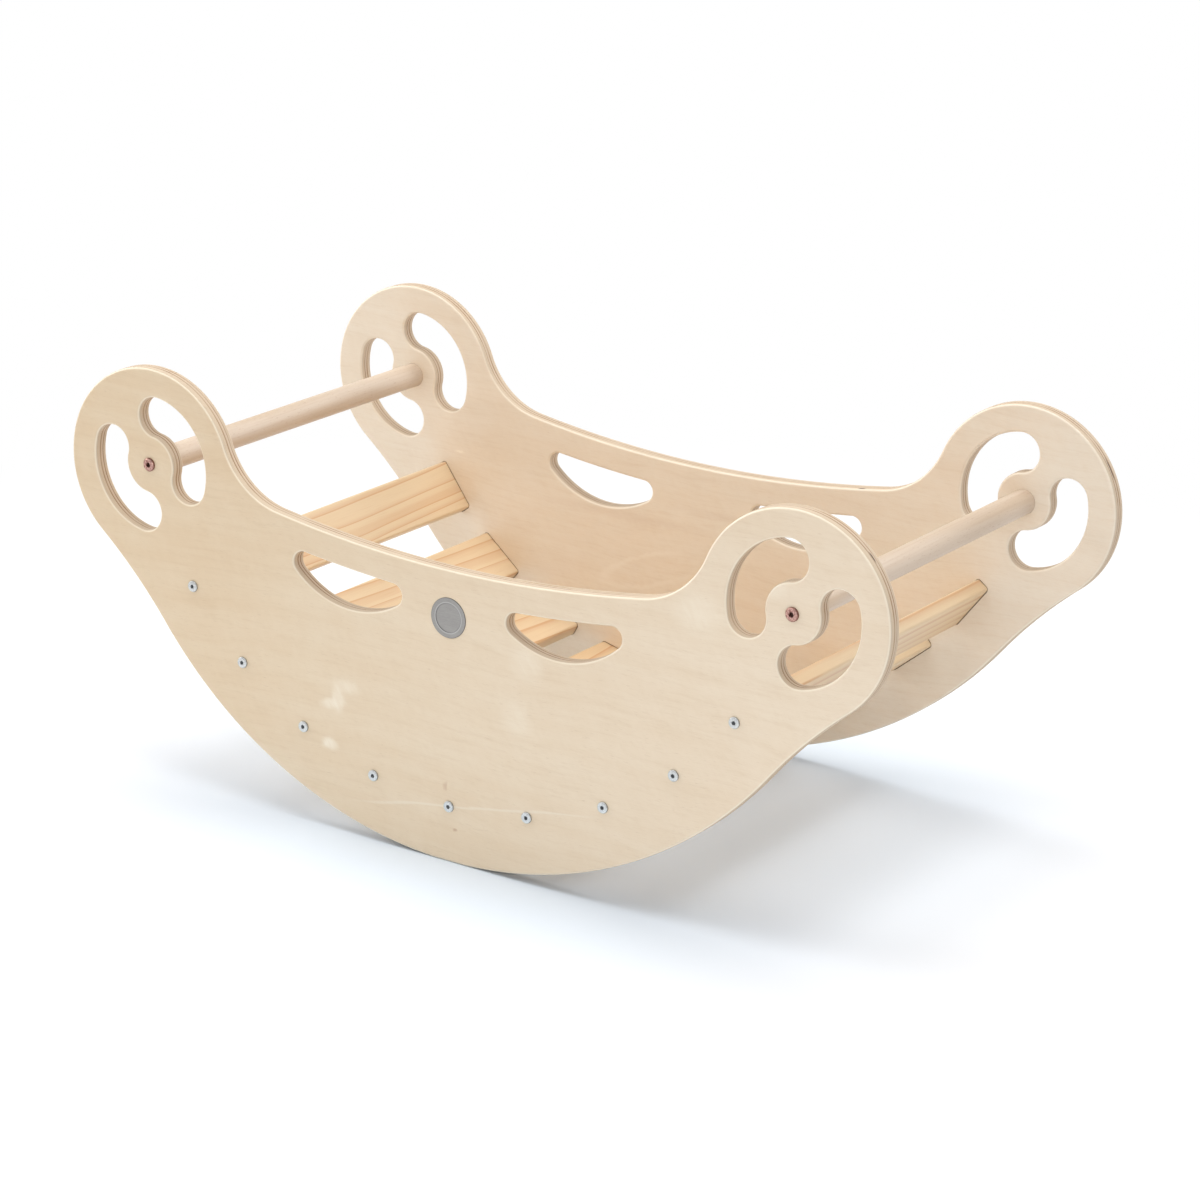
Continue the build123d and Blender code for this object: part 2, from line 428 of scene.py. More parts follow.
def birch_ply(name, tones, rim, flames, gaps, flecks, pale_growth, leaf):
    """Birch plywood: a pale face veneer grained along X, and thirteen plies at the edges."""
    plies = 13
    dark_plies = (4, 7)
    growth = tint(252, 242, 226)
    line_slope = 0.18
    line_height = 0.0605
    line_middle = 0.03
    leaf_cos = 0.945
    leaf_sin = 0.326
    leaf_middle = (0.003, 0.192)
    leaf_half = (0.06782, 0.01673)
    slats_top = (0.262, 0.266)
    material, w = new_finish(name)
    at = w.make("ShaderNodeTexCoord", {}, {}, "Object")
    out = w.make("ShaderNodeTexCoord", {}, {}, "Normal")
    x, y, z = at.axes()
    out_x, out_y, out_z = out.axes()

    # The face's figure: broad drifts, wavy growth bands, short flecks across and fine fibres
    sway = w.noise(at, (2.0, 3.0, 4.0), 3.0)
    waved = w.vector(x, y, z + (sway - 0.5) * 0.06)
    drift = w.noise(at, (3.0, 2.0, 5.0), 3.0)
    band = w.noise(waved, (2.2, 9.0, 42.0), 4.0, 0.6)
    cloud = w.noise(at, (46.0, 60.0, 34.0), 3.0, 0.6)
    streak = w.noise(waved, (22.0, 30.0, 230.0), 3.0, 0.6)
    fibre = w.noise(waved, (90.0, 90.0, 1500.0), 2.0, 0.6)
    pore = w.noise(waved, (120.0, 200.0, 1500.0), 1.0).rise(0.68, 0.8)
    curl = w.noise(w.vector(x + z * 0.7, y, z - x * 0.4), (170.0, 60.0, 50.0), 2.0)
    side = x.rise(-0.5, 0.5)
    pale = side.blend(tint(*tones[0]), tint(*tones[1]))
    warm = side.blend(tint(*tones[2]), tint(*tones[3]))
    mix = drift.rise(0.3, 0.72) * 0.45 + band.rise(0.3, 0.7) * 0.38 + (cloud - 0.5) * 0.5 + 0.08
    face = mix.blend(pale, warm)
    line = streak.rise(0.45, 0.8) * 0.14 + fibre.rise(0.45, 0.8) * 0.12 + (curl - 0.5) * 0.12
    face = line.blend(face, tint(205, 174, 134))
    face = (pore * 0.2).blend(face, tint(170, 132, 92))
    rough_x = x + (cloud - 0.5) * 0.016
    rough_z = z + (cloud - 0.5) * 0.010
    flame = curl.rise(0.35, 0.65, 0.6, 1.0)
    for middle, reach, strength in flames:
        glow = spot(rough_x, rough_z, middle, reach) * flame * strength
        face = glow.blend(face, tint(253, 241, 220))
    for middle, reach, strength in flecks:
        face = (spot(rough_x, rough_z, middle, reach) * strength).blend(face, tint(190, 146, 110))

    # Marks of growth: a wavy pale line low on the face, and the rim of a long leaf up to its middle
    line_z = z - x * line_slope - line_height + (band - 0.5) * 0.012
    pale_line = (1 - abs(line_z).rise(0.0003, 0.0022)) * (1 - abs(x - line_middle).rise(0.1, 0.17))
    face = (pale_line * pale_growth).blend(face, growth)
    leaf_x = x * leaf_cos + z * leaf_sin - leaf_middle[0]
    leaf_z = z * leaf_cos - x * leaf_sin - leaf_middle[1] + (cloud - 0.5) * 0.012
    round_leaf = (leaf_x / leaf_half[0]).away(leaf_z / leaf_half[1])
    leaf_edge = (1 - abs(round_leaf - 1).rise(0.03, 0.22)) * (1 - leaf_x.rise(0.01, 0.07))
    face = (leaf_edge * leaf).blend(face, growth)

    # The plies at an edge: two are darker, end grain is browner, and glue lines part them
    depth = abs(y) - inner_y
    layer = depth / (ply / plies) + (w.noise(at, (9.0, 9.0, 9.0), 1.0) - 0.5) * 0.25
    number = layer.sum("FLOOR")
    within = layer.sum("FRACT")
    odd = (number / 2).sum("FRACT") * 2
    first_dark, second_dark = [abs(number - n).sum("LESS_THAN", 0.5) for n in dark_plies]
    dark_ply = first_dark + second_dark
    run = (out_x * out_x + out_z * out_z + 1e-6).sum("SQRT")
    end_grain = (odd * abs(out_z) + (1 - odd) * abs(out_x)) / run
    shade = w.make("ShaderNodeTexWhiteNoise", {"noise_dimensions": "1D"}, {"W": number}, "Value")
    long_grain = shade.blend(tint(216, 202, 183), tint(205, 188, 165))
    cut_grain = shade.blend(tint(214, 191, 161), tint(200, 174, 143))
    speck = w.noise(at, (300.0, 900.0, 300.0), 2.0, 0.6)
    stain = w.noise(at, (22.0, 60.0, 22.0), 2.0).rise(0.35, 0.62)
    edge = (end_grain * 0.7 + (speck - 0.5) * 0.15).blend(long_grain, cut_grain)
    edge = (dark_ply * (0.5 + 0.4 * stain)).blend(edge, tint(152, 112, 78))
    glue = abs(within - 0.5).rise(0.38, 0.49)
    edge = (glue * 0.38).blend(edge, tint(136, 100, 70))
    for middle, reach, deep in gaps:
        hollow = spot(x, z, middle, (reach, reach)) * (1 - abs(depth - deep).rise(0.0006, 0.0011))
        edge = (hollow * 0.9).blend(edge, tint(62, 40, 24))

    # Painted shade darkens the slats' pockets, standing in for the shadow in the gap round each slat, and
    # the face's rounded rim shows the veneer's cream with a painted highlight
    from_slats = abs(x.away(z - rocker_centre[1]) - slat_arc_radius)
    # painted shade on the pockets' walls and floors, for the shadow round each slat
    pocket_shade = (1 - from_slats.rise(0.0105, 0.012)) * (1 - z.rise(*slats_top))
    edge = (pocket_shade * 0.6).blend(edge, tint(96, 66, 42))
    from_face = abs(depth - ply / 2) * -1 + ply / 2
    cut = from_face.rise(0.0012, 0.0016)
    cream_and_highlight = from_face.rise(0.00005, 0.0005)
    # the rim's lightening is partly the veneer's real cream and partly a painted highlight of light on the
    # round-over; rim sets how strong it is
    face = (cream_and_highlight * rim).blend(face, tint(250, 240, 220))
    colour = cut.blend(face, edge)
    height = fibre * 0.4 + streak * 0.4 - pore * 0.5 - cut * glue * 2
    rough = 0.46 + cut * 0.2 + (streak - 0.5) * 0.1
    coat(w, colour, rough, height, 0.00003)
    return material


def cut_panel(with_badge):
    """The front panel's mesh; the other panel is its mirror image without the badge's recess."""
    openings = []
    for hole in (bean(bean_bearing), bean(bean_bearing - 180), hand_hole()):
        openings += [hole, flipped(hole)]
    pockets = [slat_pocket(i) for i in range(slat_count)]
    screw_holes = [
        round_hole(polar(rocker_centre, slat_arc_radius, slat_turn(i) - 90), screw_hole_radius)
        for i in range(slat_count)
    ]
    bosses = [(-lobe_x, boss_z), (lobe_x, boss_z)]
    seats = [round_hole(c, bar_radius + bar_clearance) for c in bosses]
    bolt_holes = [round_hole(c, bolt_hole_radius) for c in bosses]
    recess = [round_hole(badge_centre, badge_radius + badge_clearance)] if with_badge else []
    panel = Blank()
    edge_steps = 6
    leans = [90 * n / edge_steps for n in range(edge_steps + 1)]
    for line in [outline()] + openings:
        stations = []
        for lean in leans:
            a = math.radians(lean)
            inset = drawn_in(line, edge_round * (1 - math.sin(a)))
            stations.append((inset, -outer_y + edge_round * (1 - math.cos(a)), lean - 90))
        for lean in leans[::-1]:
            a = math.radians(lean)
            inset = drawn_in(line, edge_round * (1 - math.sin(a)))
            stations.append((inset, -inner_y - edge_round * (1 - math.cos(a)), 90 - lean))
        panel.skin(*stations)
    rims = [drawn_in(line, edge_round) for line in [outline()] + openings]
    panel.sheet(rims + recess + screw_holes + bolt_holes, -outer_y, -1)
    panel.sheet(rims + pockets + seats, -inner_y, 1)
    for pocket, hole in zip(pockets + seats, screw_holes + bolt_holes):
        panel.skin((pocket, -seat_y, 0), (pocket, -inner_y, 0))
        panel.sheet([pocket, hole], -seat_y, 1)
        panel.skin((hole, -outer_y, 0), (hole, -seat_y, 0))
    for line in recess:
        panel.skin((line, -outer_y, 0), (line, -outer_y + badge_recess, 0))
        panel.sheet([line], -outer_y + badge_recess, -1)
    return panel


front_flames = [
    ((-0.144, 0.144), (0.013, 0.019), 0.9),
    ((-0.156, 0.137), (0.014, 0.008), 0.7),
    ((-0.153, 0.094), (0.016, 0.009), 0.9),
    ((-0.134, 0.161), (0.024, 0.012), 0.5),
    ((0.092, 0.234), (0.030, 0.024), 0.4),
    ((0.081, 0.173), (0.026, 0.024), 0.4),
    ((0.290, 0.330), (0.040, 0.030), 0.5),
    ((0.373, 0.376), (0.020, 0.018), 0.5),
]
front_flecks = [((-0.0055, 0.081), (0.003, 0.007), 0.35), ((0.008, 0.037), (0.003, 0.003), 0.5)]
front_gaps = [((0.4714, 0.4211), 0.008, 0.009), ((-0.462, 0.273), 0.010, 0.0062)]
back_flames = [((-0.328, 0.271), (0.008, 0.003), 0.8)]
back_flecks = [((-0.100, 0.240), (0.150, 0.009), 0.12), ((0.060, 0.262), (0.120, 0.008), 0.12)]
back_gaps = [((0.4857, 0.4018), 0.016, 0.009), ((0.2, 0.328), 0.006, 0.002)]
front_tones = ((237, 217, 187), (246, 230, 207), (228, 201, 165), (238, 218, 191))
back_tones = ((241, 228, 209), (241, 229, 211), (233, 214, 189), (234, 216, 194))
# the fourth argument, rim, is how strong the rim's cream and painted highlight are: more on the lit front
# panel
front_ply = birch_ply(
    "birch_ply_front", front_tones, 0.6, front_flames, front_gaps, front_flecks, 0.35, 0.0
)
back_ply = birch_ply("birch_ply_back", back_tones, 0.2, back_flames, back_gaps, back_flecks, 0.0, 0.25)
front_panel = cut_panel(True).piece("panel_front", front_ply)
back_panel = cut_panel(False).piece("panel_back", back_ply, mirrored=True)
for panel, node in ((front_panel, "side_panel_front"), (back_panel, "side_panel_back")):
    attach(panel, "root")
    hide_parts(node)


# Slats.
# Nine planed pine boards with rounded long edges, set on an arc between the panels. Their ends are
# dressed down a little to enter the pockets, and drilled for the screws.

end_relief = 0.0002
pilot_radius = 0.00255
pilot_depth = 0.044


def pine():
    """Knot-free pine, each slat sawn from its own part of the log: growth rings seen along the board."""
    ring_width = 0.013
    material, w = new_finish("pine")
    board = w.make("ShaderNodeAttribute", {"attribute_name": "board"}, {}, "Vector")
    number = w.make("ShaderNodeAttribute", {"attribute_name": "number"}, {}, "Fac")
    x, y, z = board.axes()
    dice = w.make(
        "ShaderNodeTexWhiteNoise", {"noise_dimensions": "1D"}, {"W": number + 3.5}, "Color"
    ).axes()
    pith_x = (dice[0] - 0.5).sum("SIGN") * (0.062 + dice[2] * 0.03) + y * (dice[1] - 0.5) * 0.10
    pith_z = 0.03 + dice[2] * 0.03
    shifted = w.vector(x + number * 0.7, y, z)
    bend = w.noise(shifted, (6.0, 2.4, 6.0), 2.0)
    drift = w.noise(shifted, (9.0, 2.0, 9.0), 2.0)
    ripple = w.noise(shifted, (40.0, 9.0, 40.0), 2.0)
    off_x = x - pith_x + (bend - 0.5) * 0.020
    off_z = z + pith_z + (ripple - 0.5) * 0.0016
    radius = off_x.away(off_z)
    spread = w.noise(w.vector(radius, number, 0.0), (75.0, 1.0, 1.0), 1.0)
    ring = ((radius + (spread - 0.5) * 0.022) / ring_width).sum("FRACT")
    late = (ring.rise(0.25, 0.9) * 0.5 + ring.rise(0.78, 0.92) * 0.5) * (1 - ring.rise(0.93, 0.99))
    late = late * drift.rise(0.2, 0.7, 0.7, 1.0)
    fibre = w.noise(shifted, (1300.0, 22.0, 1300.0), 2.0, 0.6)
    early = drift.rise(0.3, 0.7).blend(tint(229, 206, 172), tint(222, 192, 152))
    colour = (late * 0.75).blend(early, tint(202, 146, 98))
    colour = (fibre.rise(0.5, 0.8) * 0.2).blend(colour, tint(200, 150, 104))
    # painted shade: the slat darkens just before the panel's face, for the shadowed gap at the pocket's
    # mouth
    shade_at_panel = abs(y).rise(inner_y - 0.0004, inner_y - 0.0001)
    colour = (shade_at_panel * 0.4).blend(colour, tint(120, 82, 50))
    height = late * 0.6 + fibre * 0.5
    coat(w, colour, 0.5 - late * 0.1, height, 0.00004)
    return material


def slat_blank():
    """One slat about the origin, its length along Y."""
    board = Blank()
    full = round_cornered(slat_width, slat_thickness, slat_edge_round)
    tongue = drawn_in(full, end_relief)
    pilot = round_hole((0, 0), pilot_radius)
    board.skin((tongue, -seat_y, 0), (tongue, -inner_y, 0))
    board.skin((tongue, -inner_y, -90), (full, -inner_y, -90))
    board.skin((full, -inner_y, 0), (full, inner_y, 0))
    board.skin((full, inner_y, 90), (tongue, inner_y, 90))
    board.skin((tongue, inner_y, 0), (tongue, seat_y, 0))
    for end in (-1, 1):
        board.sheet([tongue, pilot], end * seat_y, end)
        board.sheet([pilot], end * (seat_y - pilot_depth), end)
    board.skin((pilot, -seat_y, 0), (pilot, -seat_y + pilot_depth, 0))
    board.skin((pilot, seat_y - pilot_depth, 0), (pilot, seat_y, 0))
    return board


def grown(piece, tree, inputs):
    """Runs the tree on the piece with its named inputs, and keeps the result as the piece's plain mesh."""
    modifier = piece.modifiers.new(tree.name, "NODES")
    modifier.node_group = tree
    for item in tree.interface.items_tree:
        if item.in_out == "INPUT" and item.name in inputs:
            modifier[item.identifier] = inputs[item.name]
    bpy.context.view_layer.update()
    graph = bpy.context.evaluated_depsgraph_get()
    result = bpy.data.meshes.new_from_object(
        piece.evaluated_get(graph), preserve_all_data_layers=True, depsgraph=graph
    )
    piece.modifiers.clear()
    piece.data = result
    return piece


def new_rack(name, inputs):
    """An empty geometry tree with named inputs; gives the tree, its wires and the mesh that comes in."""
    tree = bpy.data.node_groups.new(name, "GeometryNodeTree")
    tree.interface.new_socket("Geometry", in_out="INPUT", socket_type="NodeSocketGeometry")
    tree.interface.new_socket("Geometry", in_out="OUTPUT", socket_type="NodeSocketGeometry")
    for label, kind in inputs:
        tree.interface.new_socket(label, in_out="INPUT", socket_type=kind)
    outs = Wire(tree).make("NodeGroupInput", {}, {}, ("Geometry",) + tuple(label for label, k in inputs))
    return tree, outs


def racked(part, points, rotation, material):
    """Sets the part on each point, numbered and turned, as one plain mesh in its finish."""
    index = part.make("GeometryNodeInputIndex")
    own = part.make(
        "GeometryNodeStoreNamedAttribute",
        {"data_type": "FLOAT_VECTOR", "domain": "POINT"},
        {"Geometry": part, "Name": "board", "Value": part.make("GeometryNodeInputPosition")},
    )
    placed = part.make(
        "GeometryNodeInstanceOnPoints", {}, {"Points": points, "Instance": own, "Rotation": rotation}
    )
    counted = part.make(
        "GeometryNodeStoreNamedAttribute",
        {"data_type": "FLOAT", "domain": "INSTANCE"},
        {"Geometry": placed, "Name": "number", "Value": index},
    )
    plain = part.make("GeometryNodeRealizeInstances", {}, {"Geometry": counted})
    dressed = part.make("GeometryNodeSetMaterial", {}, {"Geometry": plain, "Material": material})
    part.make("NodeGroupOutput", {}, {"Geometry": dressed})


def arc_rack(name, material):
    """Repeats a part at each slat's place on the arc, turned with the slat."""
    tree, outs = new_rack(
        name,
        (
            ("Count", "NodeSocketInt"),
            ("Angle", "NodeSocketFloat"),
            ("Arc Radius", "NodeSocketFloat"),
            ("Arc Height", "NodeSocketFloat"),
        ),
    )
    part, count, angle, radius, height = outs
    index = part.make("GeometryNodeInputIndex")
    turn = (index - (count - 1) / 2) * angle
    place = part.vector(radius * turn.sum("SINE"), 0.0, height - radius * turn.sum("COSINE"))
    points = part.make("GeometryNodePoints", {}, {"Count": count, "Position": place})
    rotation = part.make("FunctionNodeEulerToRotation", {}, {"Euler": part.vector(0.0, turn * -1, 0.0)})
    racked(part, points, rotation, material)
    return tree


slat_arc = {
    "Count": slat_count,
    "Angle": math.radians(slat_angle),
    "Arc Radius": slat_arc_radius,
    "Arc Height": rocker_centre[1],
}
pine_finish = pine()
slats = grown(slat_blank().piece("slats", pine_finish), arc_rack("slat_rack", pine_finish), slat_arc)
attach(slats, "root")
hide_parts(*[f"slat_{i + 1}" for i in range(slat_count)])


# Grab bars.
# A round beech bar at each end, sanded smooth, seated in the bosses and bored at each end for its
# threaded insert.

insert_length = 0.020
insert_bore = 0.00505
bolt_bore = 0.00325
bolt_reach = 0.021


def beech():
    """Beech along Y: a pale pinkish ground with soft streaks and the short dark flecks of its rays."""
    material, w = new_finish("beech")
    at = w.make("ShaderNodeTexCoord", {}, {}, "Object")
    drift = w.noise(at, (60.0, 4.0, 60.0), 2.0)
    streak = w.noise(at, (420.0, 7.0, 420.0), 2.0, 0.6)
    fleck = w.noise(at, (1100.0, 160.0, 1100.0), 1.0).rise(0.62, 0.74)
    ground = drift.rise(0.3, 0.7).blend(tint(211, 194, 176), tint(203, 182, 159))
    colour = (streak.rise(0.4, 0.8) * 0.22).blend(ground, tint(184, 154, 126))
    colour = (fleck * 0.3).blend(colour, tint(166, 128, 98))
    coat(w, colour, 0.48 + streak * 0.08, streak - fleck * 0.6, 0.00003)
    return material


def bar_blank(x):
    """A bar about its own axis at x."""
    round_bar = Blank()
    centre = (x, boss_z)
    skin = loop(arc(centre, bar_radius, 0, 360))
    wide = round_hole(centre, insert_bore)
    narrow = round_hole(centre, bolt_bore)
    round_bar.skin((skin, -seat_y, 0), (skin, seat_y, 0))
    for end in (-1, 1):
        deep = end * (seat_y - insert_length)
        deepest = end * (seat_y - bolt_reach)
        round_bar.sheet([skin, wide], end * seat_y, end)
        round_bar.sheet([wide, narrow], deep, end)
        round_bar.sheet([narrow], deepest, end)
        for line, first, second in ((wide, end * seat_y, deep), (narrow, deep, deepest)):
            round_bar.skin((line, min(first, second), 0), (line, max(first, second), 0))
    return round_bar


beech_finish = beech()
for side, x in (("left", -lobe_x), ("right", lobe_x)):
    bar = bar_blank(x).piece(f"grab_bar_{side}", beech_finish)
    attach(bar, "root")
    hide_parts(f"bar_{side}")


# Threaded inserts.
# Zinc-plated steel, two to a bar, screwed into its ends. Nothing of them shows once the arch is built,
# so they keep their own shape.


def insert_zinc():
    """Zinc-plated steel: a cool silver, faintly mottled and scuffed."""
    material, w = new_finish("zinc_insert")
    at = w.make("ShaderNodeTexCoord", {}, {}, "Object")
    mottle = w.noise(at, (700.0, 700.0, 700.0), 3.0)
    scuff = w.noise(at, (2400.0, 2400.0, 2400.0), 2.0)
    colour = mottle.rise(0.3, 0.7).blend(tint(214, 219, 226), tint(184, 190, 200))
    coat(w, colour, 0.3 + mottle * 0.14, scuff, 0.00002, Metallic=1.0)
    return material


insert_finish = insert_zinc()
for side in ("left", "right"):
    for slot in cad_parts[f"bar_inserts_{side}"].material_slots:
        slot.material = insert_finish


# Slat screws.
# Zinc-plated wood screws with a low round head and a six-sided socket, one into each end of a slat.

screw_head_radius = 0.006
screw_head_height = 0.0022
screw_head_round = 0.0012
screw_socket = 0.004
screw_radius = 0.0025
screw_core = 0.0017
screw_pitch = 0.0025
screw_plain = 0.015
screw_length = 0.055
screw_tip = 0.005
screw_head_steps = 6
socket_depth_share = 0.8
socket_chamfer = 0.00015
head_sides = 48


def screw_zinc():
    """The same plating on a screw: bright, turned in fine rings and duller in the socket, with painted
    shade in the socket and round the head's rim.
    """
    material, w = new_finish("zinc_screw")
    own = w.make("ShaderNodeAttribute", {"attribute_name": "board"}, {}, "Vector")
    x, y, z = own.axes()
    off_axis = x.away(z)
    mottle = w.noise(own, (700.0, 700.0, 700.0), 3.0)
    turning = (off_axis * 26000.0).sum("SINE")
    bright = mottle.rise(0.3, 0.7).blend(tint(224, 226, 225), tint(196, 200, 201))
    shaded_socket = 1 - off_axis.rise(screw_socket * 0.46, screw_socket * 0.56)
    shaded_head_rim = off_axis.rise(screw_head_radius * 0.93, screw_head_radius)
    # painted shade: dark in the socket for the shadow inside it, and darker round the head's rim where it
    # curves away from the light
    colour = (shaded_socket * 0.85).blend(bright, tint(70, 74, 82))
    colour = (shaded_head_rim * 0.5).blend(colour, tint(120, 124, 132))
    coat(w, colour, 0.26 + mottle * 0.12 + shaded_socket * 0.3, turning * 0.5 + mottle, 0.00001, Metallic=1.0)
    return material


def ring_of(radius):
    """A circle about the Y axis with as many points as every other ring of a fastener."""
    turns = [2 * math.pi * n / head_sides for n in range(head_sides)]
    outs = [Vector((math.cos(a), math.sin(a))) for a in turns]
    return [(out * radius, out) for out in outs]


def six_sided(across_flats):
    """A hexagon about the Y axis with the same number of points."""
    points = []
    for n in range(head_sides):
        a = 2 * math.pi * n / head_sides
        from_flat = (a % (math.pi / 3)) - math.pi / 6
        out = Vector((math.cos(a), math.sin(a)))
        points.append((out * across_flats / 2 / math.cos(from_flat), out))
    return points


def fastener(head, socket, head_height, shank, start):
    """A headed screw about the Y axis: the socket's floor, its wall, the head, then the shank."""
    body = Blank()
    floor_y = start - head_height * (1 - socket_depth_share)
    top_y = start - head_height
    stations = [(six_sided(socket), floor_y, 0), (six_sided(socket), top_y + socket_chamfer, 0)]
    stations.append((six_sided(socket + 2 * socket_chamfer), top_y, 0))
    stations += [(ring_of(r), y, 0) for r, y in head + shank]
    body.sheet([stations[0][0]], floor_y, -1)
    body.skin(*stations)
    body.sheet([stations[-1][0]], stations[-1][1], 1)
    return body


def thread(crest, core, pitch, start, length):
    """A ridge at each pitch, as radii and places along Y."""
    turns = int(length / pitch)
    spare = (length - turns * pitch) / 2
    steps = [(core, start + spare)]
    for n in range(turns):
        foot = start + spare + n * pitch
        steps += [(crest, foot + pitch / 2), (core, foot + pitch)]
    return steps


def slat_screw_blank():
    """One slat screw, its head standing on the front panel's face."""
    top = -outer_y - screw_head_height
    head = []
    for n in range(screw_head_steps + 1):
        a = math.radians(90 * n / screw_head_steps)
        r = screw_head_radius - screw_head_round + screw_head_round * math.sin(a)
        head.append((r, top + screw_head_round * (1 - math.cos(a))))
    head.append((screw_head_radius, -outer_y))
    thread_start = -outer_y + screw_plain
    shank = [(screw_radius, -outer_y), (screw_radius, thread_start)]
    thread_length = screw_length - screw_plain - screw_tip
    shank += thread(screw_radius, screw_core, screw_pitch, thread_start, thread_length)
    shank.append((screw_core / 4, -outer_y + screw_length))
    return fastener(head, screw_socket, screw_head_height, shank, -outer_y)


screw_finish = screw_zinc()
for name, node, mirrored in (
    ("slat_screws_near", "slat_screws_front", False),
    ("slat_screws_far", "slat_screws_back", True),
):
    one = slat_screw_blank().piece(name, screw_finish, mirrored=mirrored, crease=32)
    screws = grown(one, arc_rack(name + "_rack", screw_finish), slat_arc)
    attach(screws, "root")
    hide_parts(node)


# Bar bolts.
# Furniture bolts with a flat head, a bevelled rim and an antique copper finish, one at each end of a
# bar, screwed into its insert.

bolt_head_radius = 0.00725
bolt_head_height = 0.0026
bolt_head_bevel = 0.0012
bolt_socket = 0.005
bolt_radius = 0.003
bolt_core = 0.0025
bolt_pitch = 0.001
bolt_plain = 0.013
bolt_length = 0.030


def antique_copper():
    """Copper plate, mottled between rubbed bright and darkened, with a dark socket that is partly the
    antique finish and partly painted shade, and painted shade on its bevel.
    """
    material, w = new_finish("antique_copper")
    own = w.make("ShaderNodeAttribute", {"attribute_name": "board"}, {}, "Vector")
    x, y, z = own.axes()
    off_axis = x.away(z)
    mottle = w.noise(own, (620.0, 620.0, 620.0), 3.0)
    turning = (off_axis * 22000.0).sum("SINE")
    rubbed = mottle.rise(0.32, 0.68).blend(tint(218, 180, 168), tint(160, 112, 106))
    shaded_socket = 1 - off_axis.rise(bolt_socket * 0.46, bolt_socket * 0.56)
    bevel_start = bolt_head_radius - bolt_head_bevel
    shaded_bevel = off_axis.rise(bevel_start, bolt_head_radius)
    # the socket's dark is partly the antique finish and partly painted shade; the bevel's dark is painted
    # shade
    colour = (shaded_socket * 0.9).blend(rubbed, tint(56, 38, 32))
    colour = (shaded_bevel * 0.75).blend(colour, tint(112, 74, 58))
    coat(w, colour, 0.24 + mottle * 0.14 + shaded_socket * 0.3, turning * 0.4 + mottle, 0.00001, Metallic=1.0)
    return material


def boss_rack(name, material):
    """Repeats a part at both bosses."""
    tree, outs = new_rack(name, (("Reach", "NodeSocketFloat"), ("Height", "NodeSocketFloat")))
    part, reach, height = outs
    index = part.make("GeometryNodeInputIndex")
    place = part.vector((index * 2 - 1) * reach, 0.0, height)
    points = part.make("GeometryNodePoints", {}, {"Count": 2, "Position": place})
    racked(part, points, (0.0, 0.0, 0.0), material)
    return tree


def bar_bolt_blank():
    """One bar bolt, its head standing on the front panel's face."""
    top = -outer_y - bolt_head_height
    head = [
        (bolt_head_radius - bolt_head_bevel, top),
        (bolt_head_radius, top + bolt_head_bevel),
        (bolt_head_radius, -outer_y),
    ]
    thread_start = -outer_y + bolt_plain
    shank = [(bolt_radius, -outer_y), (bolt_radius, thread_start)]
    shank += thread(bolt_radius, bolt_core, bolt_pitch, thread_start, bolt_length - bolt_plain)
    return fastener(head, bolt_socket, bolt_head_height, shank, -outer_y)


copper_finish = antique_copper()
for name, node, mirrored in (
    ("bar_bolts_near", "bar_bolts_front", False),
    ("bar_bolts_far", "bar_bolts_back", True),
):
    one = bar_bolt_blank().piece(name, copper_finish, mirrored=mirrored, crease=32)
    bolts = grown(one, boss_rack(name + "_rack", copper_finish), {"Reach": lobe_x, "Height": boss_z})
    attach(bolts, "root")
    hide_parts(node)


# Badge.
# A bare round metal plate with a raised rim, let into the front panel under the rail and brushed
# across. It carries nothing.

badge_rim = 0.006
badge_dish = 0.0005
badge_bevel = 0.00025


def brushed_metal():
    """Grey metal, brushed along X, with a painted shade line at the dish's step, a painted highlight just
    outside it and painted shade round its edge.
    """
    material, w = new_finish("brushed_metal")
    at = w.make("ShaderNodeTexCoord", {}, {}, "Object")
    x, y, z = at.axes()
    off_axis = (x - badge_centre[0]).away(z - badge_centre[1])
    brush = w.noise(at, (160.0, 500.0, 5200.0), 3.0, 0.65)
    cloud = w.noise(at, (70.0, 70.0, 70.0), 2.0)
    dish = badge_radius - badge_rim
    colour = (brush.rise(0.3, 0.7) * 0.5 + cloud * 0.3).blend(tint(150, 148, 146), tint(182, 180, 177))
    # painted light: step is a shade line at the dish's edge, crest a highlight beside it, rim shade where
    # the badge meets its recess
    step = 1 - abs(off_axis - dish).rise(0.0002, 0.0008)
    crest = 1 - abs(off_axis - dish - 0.0011).rise(0.0002, 0.0007)
    rim = off_axis.rise(badge_radius - 0.0009, badge_radius)
    colour = (step * 0.3).blend(colour, tint(110, 110, 114))
    colour = (crest * 0.4).blend(colour, tint(222, 222, 222))
    colour = (rim * 0.55).blend(colour, tint(98, 96, 96))
    coat(w, colour, 0.34 + brush * 0.14, brush, 0.00002, Metallic=1.0)
    return material


def badge_blank():
    """The badge, from its dish out over the rim to its back."""
    plate = Blank()
    edge = loop(arc(badge_centre, badge_radius, 0, 360))
    back = -outer_y + badge_recess
    top = badge_low[1]
    steps = (
        (badge_rim, top + badge_dish),
        (badge_rim, top + badge_bevel),
        (badge_rim - badge_bevel, top),
        (badge_bevel, top),
        (0, top + badge_bevel),
        (0, back),
    )
    rings = [(drawn_in(edge, inset), y, 0) for inset, y in steps]
    plate.sheet([rings[0][0]], top + badge_dish, -1)
    plate.skin(*rings)
    plate.sheet([edge], back, 1)
    return plate


badge_finish = brushed_metal()
badge = badge_blank().piece("round_badge", badge_finish, crease=30)
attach(badge, "root")
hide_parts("badge")


# The floor, the light and the camera.
# A pale floor that is white to the camera away from the arch and keeps its shadow, painted bluish and
# darker near the arch to cancel the warm light the wood bounces into that shadow; a long light panel
# overhead, others on the left, behind and in front, and an even white room.

